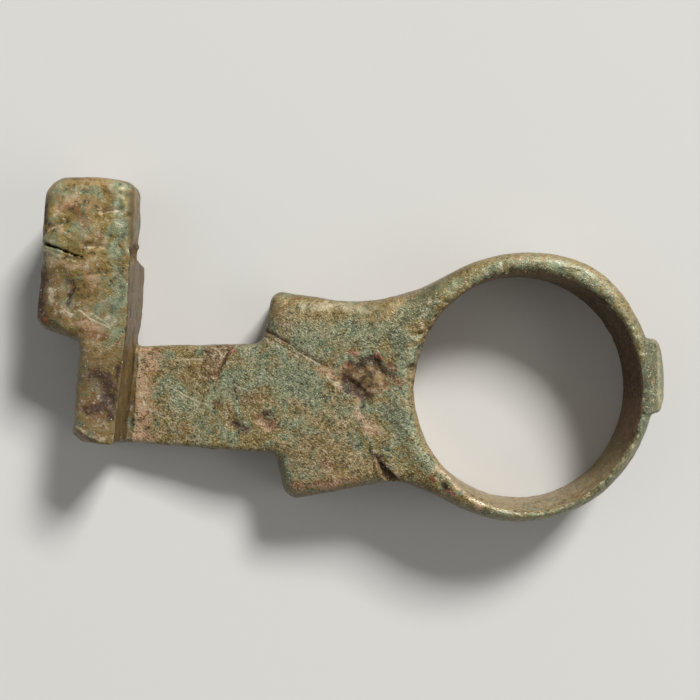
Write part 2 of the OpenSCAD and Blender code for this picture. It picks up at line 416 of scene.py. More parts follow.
def carve(cuts, x, y, where):
    for path, half, depth, lip in cuts.values():
        d, side = pathDistance(path, x, y)
        bed = np.exp(-(d / half) ** 2) * where
        edge = np.exp(-((d - 1.9 * half) / (0.8 * half)) ** 2) * (side < 0) * where
        shift[:] += lip * edge - depth * bed
        depthMark[:] = np.maximum(depthMark, bed * np.clip(depth * 4, 0, 1))


carve(neckCuts, verts[:, 0], verts[:, 1], frontness * ~onBit)
carve(bitCuts, u, v, frontness * onBit)

# Corroded place in the middle of the plate, and single pits: x, y, size, depth
corroded = {"at": (-12.7, 0.75), "size": (2.3, 1.9)}
pitHeart = np.hypot(*((verts[:, :2] - corroded["at"]) / corroded["size"]).T)
rotten = smoothStep(1.15, 0.55, pitHeart + 0.35 * lumps(verts, 0.9, 11)) * frontness * ~onBit
shift -= rotten * (0.14 + 0.12 * lumps(verts, 0.8, 12) + 0.1 * lumps(verts, 0.38, 13))
pits = [
    (-14.2, 0.4, 0.4, 0.18), (-13.5, 0.0, 0.45, 0.22), (-12.95, -0.6, 0.35, 0.18), (-12.36, 2.0, 0.45, 0.3),
    (-13.3, 1.24, 0.4, 0.22), (-11.7, 1.25, 0.4, 0.22), (-26.24, -1.48, 0.3, 0.14), (-23.35, -3.07, 0.45, 0.18),
    (-20.65, -3.03, 0.35, 0.14), (-6.79, -7.85, 0.4, 0.24), (-33.3, -0.1, 0.5, 0.06), (-32.9, 0.9, 0.4, 0.07),
    (-33.7, 0.5, 0.35, 0.06), (-32.7, -1.0, 0.4, 0.05),
]
for x, y, size, depth in pits:
    bed = np.exp(-((verts[:, 0] - x) ** 2 + (verts[:, 1] - y) ** 2) / size ** 2) * frontness
    shift -= depth * bed
    depthMark = np.maximum(depthMark, bed)

# Front edge of the bore, nibbled most on the side next to the plate
turnAt = np.degrees(np.arctan2(verts[:, 1], verts[:, 0]))
edgeGap = np.hypot(verts[:, 0] - hoop["boreAt"][0], verts[:, 1] - hoop["boreAt"][1]) - hoop["boreEdge"]
nibble = np.exp(-(edgeGap / 0.45) ** 2) * smoothStep(5.2, 6.2, verts[:, 2])
nibble *= 0.25 + 0.75 * np.exp(-((np.abs(turnAt) - 160) / 16) ** 2) * (turnAt > 0)
shift -= 0.5 * nibble * smoothStep(0.0, 0.5, lumps(verts, 0.75, 31) + 0.4 * lumps(verts, 0.35, 32))

# Unevenness of the whole casting, then fine pitting
uneven = 1 - 0.45 * smoothStep(-8, -5, verts[:, 0])  # the ring is worn smoother
shift += uneven * (0.08 * lumps(verts, 3.2, 1) + 0.048 * lumps(verts, 1.2, 2)) + 0.02 * lumps(verts, 0.42, 3)
shift += onBit * (0.06 * lumps(verts, 2.1, 5) + 0.05 * lumps(verts, 0.9, 6))
shift -= 0.05 * smoothStep(0.45, 0.8, lumps(verts, 0.7, 4))
shift *= np.where(normals[:, 2] < -0.8, 0.6, 1)
verts = verts + normals * shift[:, None]
verts[:, 2] = np.maximum(verts[:, 2], 0)  # the key lies on its back
facing = vertexNormals(verts, faces)
print("marks carved")


# Stains on the front: strokes of a width and points, on the key or in the bit's own frame

keyStains = {
    "sage": [
        (0.6, (-20, 3), (-17.4, 1.4)), (1.0, (-11, 4.4), (-9.6, 3.2)),
        (1.3, (-18.5, 4.6), (-16, 4.2), (-13, 4.4), (-10.5, 4.9)),
        (1.4, (-21.5, 1.5), (-19, 0.2), (-17, -1.5), (-15, -2.2)), (0.9, (-10.6, -1.8), (-9.6, -4.2)),
        (1.2, (-28, -1.5), (-24.5, -1), (-22, 0.6)), (0.7, (-8.2, -5.4), (-6.8, -6.9))],
    "tan": [
        (0.7, (-15.6, -1.6), (-14.6, -2.6), (-14.2, -4)), (0.4, (-12.9, 0.9), (-12.3, 0.3), (-11.6, 0.6)),
        (0.9, (-20, 6.6), (-17, 6), (-12.5, 5.8), (-10.2, 6.3)),
        (1.0, (-17.6, -7.6), (-15.2, -7.2), (-13, -6.6)), (1.1, (-17.4, -5), (-14.2, -5.3)),
        (0.55, (-9.1, 1.5), (-9.1, 0.6), (-9, -2.5), (-8, -5)), (0.7, (-18.6, -0.8), (-16.8, -2.6)),
        (0.8, (-28.6, 1.9), (-26.4, 1.6))],
    # pink patina; along the pit ridge and the lower horn's ridge it is partly a painted highlight
    "pink": [
        (1.5, (-31.4, 2.8), (-31.3, 0), (-31.2, -4)), (1.0, (-30.2, 2.6), (-30.4, 1.4)),
        (0.5, (-16.5, 1), (-15.5, 0.4), (-14.7, 0)), (0.7, (-13.6, -1.4), (-13, -2.4), (-12.1, -3)),
        (0.4, (-11.9, 0.2), (-11.1, 0.1)), (0.28, (-12.2, -5.4), (-11.4, -6.4)),
        (0.4, (-7, -6.5), (-5.2, -8.1), (-3.4, -9.2)), (0.4, (-17, -7.9), (-15.2, -7.5)),
        (0.6, (-21.4, -2.9), (-20.8, -3.2))],
    "dark": [
        (0.16, (-12.2, -4.9), (-11.0, -6.3)), (0.55, (-14.5, 0.7), (-13.9, 0.2), (-13.3, -0.4), (-12.9, -0.8)),
        (0.45, (-13.5, 1.5), (-12.5, 2.1), (-11.9, 1.6)), (0.3, (-12.7, 0.5), (-12.2, 0.7)),
        (0.3, (-6.9, -7.7), (-6.5, -8)), (0.4, (-21.3, -2.2), (-20.6, -2)),
        (0.4, (-23.3, -3.2), (-22.5, -3.6))],
    "red": [
        (0.26, (-14.1, 2.8), (-13.7, 2.5)), (0.24, (-12.1, 2.5), (-11.6, 2.3)),
        (0.18, (-14.3, 1.75), (-13.9, 1.7)), (0.18, (-11, 1.9), (-10.9, 1.7)),
        (0.1, (-16.2, 2.6), (-16.1, 2.5)), (0.22, (-7.7, -7), (-7.6, -7.3)), (0.22, (-6.4, -8.1), (-6, -8.3)),
        (0.14, (-24.9, -1.5), (-24.7, -1.6)), (0.22, (-23.6, 3), (-23.4, 2.8))],
    "rust": [
        (0.35, (-13.2, -1.4), (-12.6, -2.4)), (0.7, (-18.4, -7.9), (-15.6, -7.4)),
        (0.7, (-21.5, -2.4), (-20.2, -3.2)), (0.6, (-10.6, 1.6), (-10.2, 0.4)),
        (0.5, (-15.9, -5.6), (-15.2, -5.8)), (0.35, (-14.9, -7.4), (-13.6, -7)),
        (0.35, (-25, -1.2), (-24.4, -1.8))],
    # bare metal in scratches and rubs, and painted highlights along the plate's top edge, on the pit ridge, on
    # the lower horn's ridge and at the shank's top left
    "bareAndHighlight": [
        (0.1, (-29.1, 0.15), (-25.6, -1.6)), (0.1, (-31.4, -1.7), (-28.8, -2.45)),
        (0.08, (-29.6, -0.9), (-27.2, -2.2)), (0.08, (-30.3, 0.6), (-28.7, -0.2)),
        (0.18, (-7, -6.5), (-5.2, -8.1), (-3.4, -9.2)), (0.5, (-17.8, 6.6), (-15.4, 6.3), (-12.8, 6)),
        (0.3, (-16, 0.6), (-15.2, 0.2)), (0.08, (-21.3, 4.1), (-19.1, 2.7)),
        (0.35, (-13.5, -1.5), (-13, -2.3), (-12.6, -2.9)), (0.6, (-31.7, 3), (-31.3, 1.4)),
        (0.4, (-31.2, -0.6), (-30.9, -1.2))],
    # moss green patina, and painted shade on the ring beside the bezel, round its lower right and along the
    # plate's upper left edge
    "mossAndShade": [
        (0.5, (9.4, -2.2), (9.5, 0.8), (9.2, 3.4)), (0.3, (9.5, -2), (9.6, 0.6), (9.4, 3)),
        (0.8, (9.3, -3.6), (7.6, -6.6), (5, -8.9), (1, -10.1)), (0.45, (3.4, 8.7), (-0.4, 9.5), (-4, 8.6)),
        (0.5, (-9.4, 6.6), (-7.4, 7.6)), (0.7, (-10.9, -1.5), (-10.2, -2.6)), (0.8, (-10.8, 3.8), (-9.8, 2.8)),
        (0.6, (-10.4, 4.8), (-8.6, 5.8), (-7.4, 6.9)), (0.4, (-20.6, 6.9), (-20.8, 5.2))],
    "umber": [
        (0.3, (-20.9, 4.4), (-18.9, 3.2), (-17.2, 2.2), (-15.9, 1.4)),
        (1.0, (-18.8, -5.2), (-16.6, -6.4), (-13.6, -5.9)), (0.4, (-21.1, 4.2), (-20.2, 3.9), (-19.2, 3.3)),
        (0.9, (-27.8, 1.6), (-25.6, 1.2)), (0.8, (-23.2, -0.2), (-21.4, -0.6)),
        (0.9, (-17.6, -4.2), (-14.4, -5)), (0.8, (-19.8, 5.6), (-18.4, 5.2)), (0.7, (-16, -2.6), (-14.8, -3)),
        (0.6, (-29, -3.6), (-26.5, -3.9))],
}
bitStains = {
    # moss green, and painted shade down the left edges of the teeth
    "mossAndShade": [
        (0.5, (-6.8, 12.4), (-6.4, 9.6)), (0.4, (-0.55, 17.5), (-0.6, 10.5)), (0.5, (-6.6, 19.4), (-6.75, 17)),
        (0.5, (-5.6, 9.3), (-4, 8.7)), (0.35, (-3.2, 7.2), (-3.2, 5))],
    # bare metal in nicks and scratches, and a painted highlight on the upper right corner
    "bareAndHighlight": [
        (0.1, (-2.5, 10.15), (-0.8, 9.15)), (0.12, (-2.2, 18.05), (-0.9, 18.3)),
        (0.1, (-3.2, 15.3), (-1.9, 15.3)), (0.3, (-5.9, 11.9), (-5.6, 11)), (0.35, (-1.8, 20), (-0.8, 19.4)),
        (0.14, (-6.6, 14.95), (-4, 14.15)), (0.1, (-6.6, 16.3), (-5.2, 17.05)),
        (0.14, (-3.1, 1.2), (-1.2, 0.2))],
    "sage": [
        (0.5, (-0.8, 19.5), (-0.9, 12), (-0.8, 8)), (0.6, (-6, 19.4), (-4.5, 20)),
        (0.6, (-5.6, 9.6), (-4.2, 8.9)), (0.4, (-3.1, 7.2), (-3, 5.4))],
    "umber": [
        (1.3, (-6, 12.6), (-4.6, 10.2)), (1.2, (-2.7, 8.2), (-1.8, 0.8)), (1.0, (-3.2, 16), (-2.9, 10.6)),
        (1.1, (-5.4, 18.8), (-2.4, 18.9))],
    "tan": [
        (1.1, (-5.2, 18.6), (-2.6, 18.9)), (0.9, (-3, 16.6), (-2.6, 12.5)), (0.8, (-2.6, 10.8), (-2.2, 7.6)),
        (0.8, (-2.6, 2.6), (-1, 1.4)), (0.4, (-5.4, 20.6), (-1.2, 20.7))],
    "pink": [
        (0.4, (-6.6, 14.7), (-5.2, 14), (-3.4, 13.5)), (0.18, (-6.7, 16.2), (-5.1, 17.1)),
        (0.6, (-3.3, 13), (-2.6, 12.4)), (0.7, (-5.2, 18.3), (-3.6, 18.5)), (0.2, (-2.2, 18.15), (-0.9, 18.4)),
        (0.2, (-3.3, 15.4), (-1.9, 15.4)), (0.5, (-3.1, 9.3), (-1.6, 8.6))],
    # plum corrosion on the stem, and painted shade down the lower tooth's left edge, in its crease and at the
    # upper left corner
    "dark": [
        (0.9, (-2, 5.4), (-1.2, 4.6), (-0.5, 3.3)), (0.5, (-1.3, 3.5), (-0.6, 2.4)),
        (0.35, (-0.6, 6.2), (-0.4, 4.4)), (0.8, (-6.6, 13), (-6.8, 10)), (0.3, (-4.6, 12.2), (-4.2, 10.8)),
        (0.4, (-2.4, 2.6), (-1.6, 2.9)), (0.4, (-6.7, 18.5), (-6.7, 16.8))],
    "red": [
        (0.2, (-6.2, 9.5), (-6, 9.3))],
    "rust": [
        (0.4, (-6.3, 9.6), (-5.9, 9.3)), (0.5, (-4.6, 18.2), (-3.4, 17.2)), (0.5, (-2.8, 8.6), (-1.4, 8.2)),
        (0.6, (-2.6, 3.2), (-1.6, 2.4))],
}
onFront = np.clip(frontness + 0.1, 0, 1)
px, py, pz = verts.T


def strokes(stains, x, y, where):
    total = np.zeros(len(x))
    for width, *path in stains:
        total = np.maximum(total, np.exp(-(pathDistance(path, x, y)[0] / width) ** 2))
    return total * where


def wander(seed):
    drift = lumps(verts, 2.0, seed) + 0.6 * lumps(verts, 0.8, seed + 1) + 0.3 * lumps(verts, 0.35, seed + 2)
    return 0.5 * drift


driftX, driftY = wander(41), wander(51)
masks = {"wear": wear, "hollowAndShade": np.clip(np.maximum(hollowAndShade, depthMark), 0, 1)}


def layOn(name, amount):
    masks[name] = np.maximum(masks[name], amount)


for name in keyStains:
    loose = 0.3 if name in ("red", "bareAndHighlight") else 1.0  # small marks stay where they are
    dx, dy = loose * driftX, loose * driftY
    masks[name] = strokes(keyStains[name], px + dx, py + dy, onFront * ~onBit)
    layOn(name, strokes(bitStains[name], u + dx, v + dy, onFront * onBit))
layOn("dark", 0.35 * rotten * smoothStep(0, 0.6, lumps(verts, 0.6, 23)))
masks["earth"] = np.clip(1.3 * rotten, 0, 1)
for nick in nicks.values():
    near = (np.hypot(px - nick["deep"][0], py - nick["deep"][1]) < 3.2) & (frontness > 0)
    layOn("earth", 0.9 * smoothStep(-0.3, -0.12, nickField(nick, px, py, pz)) * near)
masks["front"] = frontness
masks["coarse"] = np.clip(onBit * 1.0 + 0.3 * masks["pink"] + 0.8 * rotten, 0, 1)  # blotched, not grainy

# Sides are browner than the front; the bore golden below with painted light where it faces up, painted shade on
# its upper wall, rusty behind the bezel; the ring's front greener
masks["side"] = smoothStep(0.3, 0.8, np.hypot(normals[:, 0], normals[:, 1]))
fromCentre = np.hypot(px, py)
outward = (normals[:, 0] * px + normals[:, 1] * py) / fromCentre
wall = smoothStep(0.55, 0.85, -outward) * (fromCentre < 10.2)
behind = smoothStep(7.0, 8.6, px)
# painted light: the lower bore wall golden and lighter where it faces the light
layOn("tan", wall * (1 - behind) * smoothStep(3, -4, py))
layOn("bareAndHighlight", 0.3 * wall * smoothStep(-3, -6, py))
# painted shade: the upper bore wall browner and darker towards the upper right
layOn("umber", 0.9 * wall * smoothStep(-4, 3, py))
layOn("dark", 0.75 * wall * smoothStep(1, 6, px) * smoothStep(-4, 1, py))
layOn("rust", wall * behind * smoothStep(7.5, 3.5, np.abs(py)))
ringFront = frontness * smoothStep(-7, -4, px)
layOn("sage", 0.6 * ringFront)
layOn("mossAndShade", 0.55 * ringFront)

# Bezel: green on the front, darker where it faces forward as painted shade, a painted highlight along its lip,
# dirt and painted shade in the corner round it
onBezel = smoothStep(10.4, 10.65, np.hypot(px - hoop["rimAt"], py)) * smoothStep(9.0, 9.6, px)
layOn("tan", 0.3 * onBezel)
layOn("mossAndShade", onBezel * (0.45 + 0.55 * frontness))
# painted highlight: light colour along the bezel's curved lip
lip = onBezel * smoothStep(9.95, 10.3, px) * smoothStep(5.2, 6.3, pz)
layOn("bareAndHighlight", 0.75 * lip)
masks["mossAndShade"] *= 1 - 0.6 * lip
# dirt and painted shade along the bezel's seat and at its ends
seat = np.exp(-((px - 9.25) / 0.28) ** 2) * (np.abs(py - 0.5) < 2.6) * frontness
foot = 4 * onBezel * (1 - onBezel) * smoothStep(8.2, 8.8, px)
layOn("hollowAndShade", np.maximum(0.8 * seat, foot))

# Where grains of crust sit
crusted = 0.12 + 0.88 * np.clip(frontness * (0.35 + 0.8 * masks["sage"]), 0, 1)
masks["grains"] = crusted * (1 - 0.7 * onBit) * (1 - 0.8 * masks["tan"]) * (1 - rotten)

# Shoulder of the ring above the bore, painted shade over the lower half and left side of the bit, and what
# fingers have polished
# painted shade: darker green on the ring's front beside the bezel
layOn("mossAndShade", ringFront * (1 - onBezel) * smoothStep(8.6, 9.0, px))
masks["side"] *= 1 - 0.5 * onBezel
shoulder = smoothStep(0.25, 0.6, outward) * smoothStep(3, 7, py)
shoulder = shoulder * smoothStep(-6.5, -3, px) * smoothStep(4.6, 5.8, pz)
layOn("tan", 0.75 * shoulder)
masks["mossAndShade"] *= 1 - 0.8 * shoulder
masks["pink"] *= 1 - 0.25 * onBit
# painted shade: the bit darker towards its bottom and its left side
bitShade = 0.55 * smoothStep(15.5, 13.5, v) + 0.2 * smoothStep(8, 6.5, v) + 0.35 * smoothStep(-4, -6.6, u)
layOn("hollowAndShade", onBit * frontness * bitShade)
rubbed = {
    "plate": (0.7, (-18.8, 7), (-16, 6.4), (-12.5, 6), (-9, 6.8), (-6, 8.2)),
    "bit": (0.7, (-2, 20), (-0.7, 19.4)),
}
masks["polish"] = np.clip(0.7 * smoothStep(-8, -5, px) + strokes([rubbed["plate"]], px, py, onFront)
                          + 0.8 * strokes([rubbed["bit"]], u, v, onFront * onBit), 0, 1)
masks["polish"] *= (1 - wall) * (1 - 0.7 * onBezel)
masks["filed"] = smoothStep(0.6, 0.9, normals[:, 0]) * smoothStep(-31.0, -31.3, px)
print("stains:", ", ".join(masks))


# The casting as a mesh, cut at the joints into pieces

def makeMesh(name, points, polygons):
    mesh = bpy.data.meshes.new(name)
    mesh.from_pydata(np.asarray(points) * mm, [], polygons)
    mesh.validate()
    return mesh


def makeObject(name, mesh):
    obj = bpy.data.objects.new(name, mesh)
    bpy.context.scene.collection.objects.link(obj)
    return obj


def plainMesh(obj):
    depsgraph = bpy.context.evaluated_depsgraph_get()
    return bpy.data.meshes.new_from_object(obj.evaluated_get(depsgraph))


castMesh = makeMesh("castKey", verts, faces)


def store(name, values, key="value", kind="FLOAT", domain="POINT"):
    layer = castMesh.attributes.new(name, kind, domain)
    layer.data.foreach_set(key, values.astype(np.float32).ravel())


for name, mask in masks.items():
    store(name, mask)
store("facing", facing, "vector", "FLOAT_VECTOR")
store("skin", np.ones(len(castMesh.polygons)), domain="FACE")
castKey = makeObject("castKey", castMesh)


def prism(name, outline, low=-3.0, high=12.0):
    n = len(outline)
    points = [(x, y, low) for x, y in outline] + [(x, y, high) for x, y in outline]
    sides = [(i, (i + 1) % n, n + (i + 1) % n, n + i) for i in range(n)]
    ends = [tuple(range(n))[::-1], tuple(range(n, 2 * n))]
    return makeObject(name, makeMesh(name, points, ends + sides))


def rimRay(turn, reach):
    t = math.radians(turn)
    return (hoop["rimAt"] + reach * math.cos(t), reach * math.sin(t))


def rimArc(first, last, steps=40):
    return [rimRay(t, hoop["rim"]) for t in np.linspace(first, last, steps)]


def outOfBit(points):
    a, (fx, fy) = math.radians(bit["lean"]), bit["foot"]
    return [(fx + x * math.cos(a) + y * math.sin(a), fy - x * math.sin(a) + y * math.cos(a)) for x, y in points]


joints = {
    "hornTurn": 122, "bezelTurn": (-13.5, 23.5),  # turns round the hoop
    "seamUp": (-21.15, 3.5), "seamDown": (-20.05, -5.3),  # line between plate and shank
    "bitSide": 0.3, "stemSide": 1.6, "shankTop": 9.0,  # in the bit's own frame
    "under": -4, "above": 24, "beyond": 9,  # clear of the bit below, above and to the left
}
seamSlope = (joints["seamUp"][0] - joints["seamDown"][0]) / (joints["seamUp"][1] - joints["seamDown"][1])


def seamAt(y):
    return (joints["seamDown"][0] + seamSlope * (y - joints["seamDown"][1]), y)


horn, (bezelLow, bezelHigh) = joints["hornTurn"], joints["bezelTurn"]
stemLeft = -bit["stem"]
slitAt, slitRise = bit["slit"][:2]
slitEnd = slitAt + slitRise * joints["beyond"]
side, top, out = joints["bitSide"], joints["shankTop"], joints["stemSide"]
under, above, tipSide = joints["under"], joints["above"], stemLeft - joints["beyond"]
# what each piece takes of the casting; the outer corners run well clear of it
territory = {
    "hoop": rimArc(bezelHigh, bezelLow) + [rimRay(bezelLow, 16), (15, -14), rimRay(-horn, 20)]
            + rimArc(360 - horn, horn) + [rimRay(horn, 20), (15, 14), rimRay(bezelHigh, 16)],
    "bezel": rimArc(bezelLow, bezelHigh) + [rimRay(bezelHigh, 15.5), rimRay(bezelLow, 15.5)],
    "shoulder_plate": rimArc(horn, 360 - horn) + [rimRay(-horn, 18), seamAt(-16), seamAt(16), rimRay(horn, 18)],
    "shank": outOfBit([(side, under)]) + [seamAt(-12), seamAt(7)] + outOfBit([(out, top), (side, top)]),
    "bit_stem": outOfBit([(stemLeft, under), (side, under), (side, top), (out, top), (out, above),
                          (stemLeft, above)]),
    "bit_upper_tooth": outOfBit([(stemLeft, slitAt), (stemLeft, above), (tipSide, above), (tipSide, slitEnd)]),
    "bit_lower_tooth": outOfBit([(stemLeft, under), (stemLeft, slitAt), (tipSide, slitEnd), (tipSide, under)]),
}


def area(outline):
    return sum(x0 * y1 - x1 * y0 for (x0, y0), (x1, y1) in zip(outline, outline[1:] + outline[:1])) / 2


castPoints = kdtree.KDTree(len(verts))
for i, spot in enumerate(verts.tolist()):
    castPoints.insert(spot, i)
castPoints.balance()


def readOff(data, key, wide=1, kind=np.float32):
    values = np.zeros(len(data) * wide, kind)
    data.foreach_get(key, values)
    return values.reshape(-1, wide) if wide > 1 else values


def fillCut(mesh):
    # points that the cut adds take their values from the casting round them
    carried = readOff(mesh.attributes["facing"].data, "vector", 3)
    fresh = np.flatnonzero(np.linalg.norm(carried, axis=1) < 0.5)
    near = [castPoints.find_n(mesh.vertices[i].co / mm, 4) for i in fresh.tolist()]
    index = np.array([[n[1] for n in row] for row in near])
    weight = 1 / (np.array([[n[2] for n in row] for row in near]) + 1e-4)
    weight /= weight.sum(axis=1)[:, None]
    carried[fresh] = (facing[index] * weight[:, :, None]).sum(axis=1)
    for name, mask in masks.items():
        values = readOff(mesh.attributes[name].data, "value")
        values[fresh] = (mask[index] * weight).sum(axis=1)
        mesh.attributes[name].data.foreach_set("value", values)
    return carried


def keepFlow(mesh):
    # shade each skin as the whole casting was, so that a joint doesn't show as a line
    carried = fillCut(mesh)
    corner = readOff(mesh.loops, "vertex_index", 1, np.int32)
    size = readOff(mesh.polygons, "loop_total", 1, np.int32)
    owner = np.repeat(np.arange(len(size)), size)
    flat = readOff(mesh.polygons, "normal", 3)[owner]
    outside = readOff(mesh.attributes["skin"].data, "value")
    skin = np.where((outside > 0.5)[owner, None], carried[corner], flat)
    mesh.shade_smooth()
    mesh.normals_split_custom_set((skin / np.linalg.norm(skin, axis=1)[:, None]).tolist())
    mesh.attributes.remove(mesh.attributes["facing"])
    mesh.attributes.remove(mesh.attributes["skin"])


pieces = {}
for name, outline in territory.items():
    cutter = prism(name + "Cutter", outline if area(outline) > 0 else outline[::-1])
    cut = castKey.modifiers.new("cut", "BOOLEAN")
    cut.operation, cut.solver, cut.object = "INTERSECT", "MANIFOLD", cutter
    mesh = plainMesh(castKey)
    castKey.modifiers.remove(cut)
    bpy.data.objects.remove(cutter)
    mesh.name = name
    keepFlow(mesh)
    pieces[name] = makeObject("worn_" + name, mesh)
    print("piece:", name, len(mesh.polygons), "faces")


# Materials

class Flow:
    # a socket that takes part in Python expressions
    def __init__(self, tree, socket):
        self.tree, self.socket = tree, socket

    def on(self, operation, *values):
        return addNode(self.tree, "ShaderNodeMath", {"operation": operation}, dict(enumerate(values)))

    def __add__(self, other):
        return self.on("ADD", self, other)

    def __radd__(self, other):
        return self.on("ADD", other, self)

    def __sub__(self, other):
        return self.on("SUBTRACT", self, other)

    def __rsub__(self, other):
        return self.on("SUBTRACT", other, self)

    def __mul__(self, other):
        return self.on("MULTIPLY", self, other)

    def __rmul__(self, other):
        return self.on("MULTIPLY", other, self)

    def over(self, low, high):
        # 0 below low and 1 above high, with a soft change between
        return addNode(self.tree, "ShaderNodeMapRange", {"interpolation_type": "SMOOTHSTEP"},
                       {"Value": self, "From Min": low, "From Max": high})


def addNode(tree, kind, settings=None, sockets=None, output=0):
    node = tree.nodes.new(kind)
    for key, value in (settings or {}).items():
        setattr(node, key, value)
    for key, value in (sockets or {}).items():
        target = node.inputs[key]
        if isinstance(value, Flow):
            tree.links.new(value.socket, target)
        else:
            target.default_value = value
    return Flow(tree, node.outputs[output]) if node.outputs else None


def tone(code):
    # paint colour from its usual six-figure code
    parts = [int(code[i:i + 2], 16) / 255 for i in (1, 3, 5)]
    return tuple(c / 12.92 if c < 0.04045 else ((c + 0.055) / 1.055) ** 2.4 for c in parts) + (1.0,)


def blend(tree, factor, under, over):
    return addNode(tree, "ShaderNodeMix", {"data_type": "RGBA"}, {0: factor, 6: under, 7: over}, 2)


def newMaterial(name):
    material = bpy.data.materials.new(name)
    material.use_nodes = True
    material.node_tree.nodes.clear()
    return material


def painted(tree, layer):
    kind = {"attribute_name": layer, "attribute_type": "GEOMETRY"}
    return addNode(tree, "ShaderNodeAttribute", kind, None, 2)


patina = {
    "olive": "#887236", "sage": "#878f6d", "mossAndShade": "#525a3e", "tan": "#a08654", "pink": "#cea380",
    "brown": "#68522e", "earth": "#82633e", "umber": "#826132", "dirtAndShade": "#4a2f1c", "plum": "#381f12",
    "red": "#9a452b", "rust": "#80522a", "bareAndHighlight": "#cfc3a0", "creamAndLight": "#ded5b2", "shade": "#27190b",
    "grain": 9500.0, "fleck": 2300.0, "blotch": 800.0, "cloud": 300.0, "hue": 620.0,  # to the metre
    "file": 5200.0, "speck": 700.0, "waver": 420.0,
    "brush": (-34, 27), "stretch": 2.4,  # the two ways it was brushed, and how long the strokes are
    "bump": 0.00012, "rough": 0.4, "metal": 0.1, "wax": 0.2, "waxRough": 0.36,
}
# Thin lines on the front, from, to and half width: light scratches, and dark beds of the grooves on the plate
lightLines = [
    ((-29.16, 0.12), (-25.4, -1.55), 0.1), ((-30.12, -2.2), (-29.2, -2.53), 0.09),
    ((-29.2, -2.53), (-28.5, -2.63), 0.09), ((-28.96, -1.5), (-27.8, -2.3), 0.1),
    ((-29.33, -0.45), (-28.2, -1.42), 0.09), ((-23.34, 0.08), (-22.1, -0.32), 0.09),
    ((-28.4, 2.12), (-25.8, 2.25), 0.14), ((-35.6, 6.1), (-32.8, 4.6), 0.09),
    ((-18.4, 2.9), (-16.4, 1.7), 0.07),
]
darkLines = [
    ((-20.9, 4.6), (-18.82, 3.38), 0.13), ((-18.82, 3.38), (-17.24, 2.3), 0.12),
    ((-17.24, 2.3), (-15.7, 1.45), 0.09), ((-20.8, 4.1), (-18.2, 2.6), 0.06),
    ((-23.65, 3.2), (-24.85, 0.9), 0.08),
]


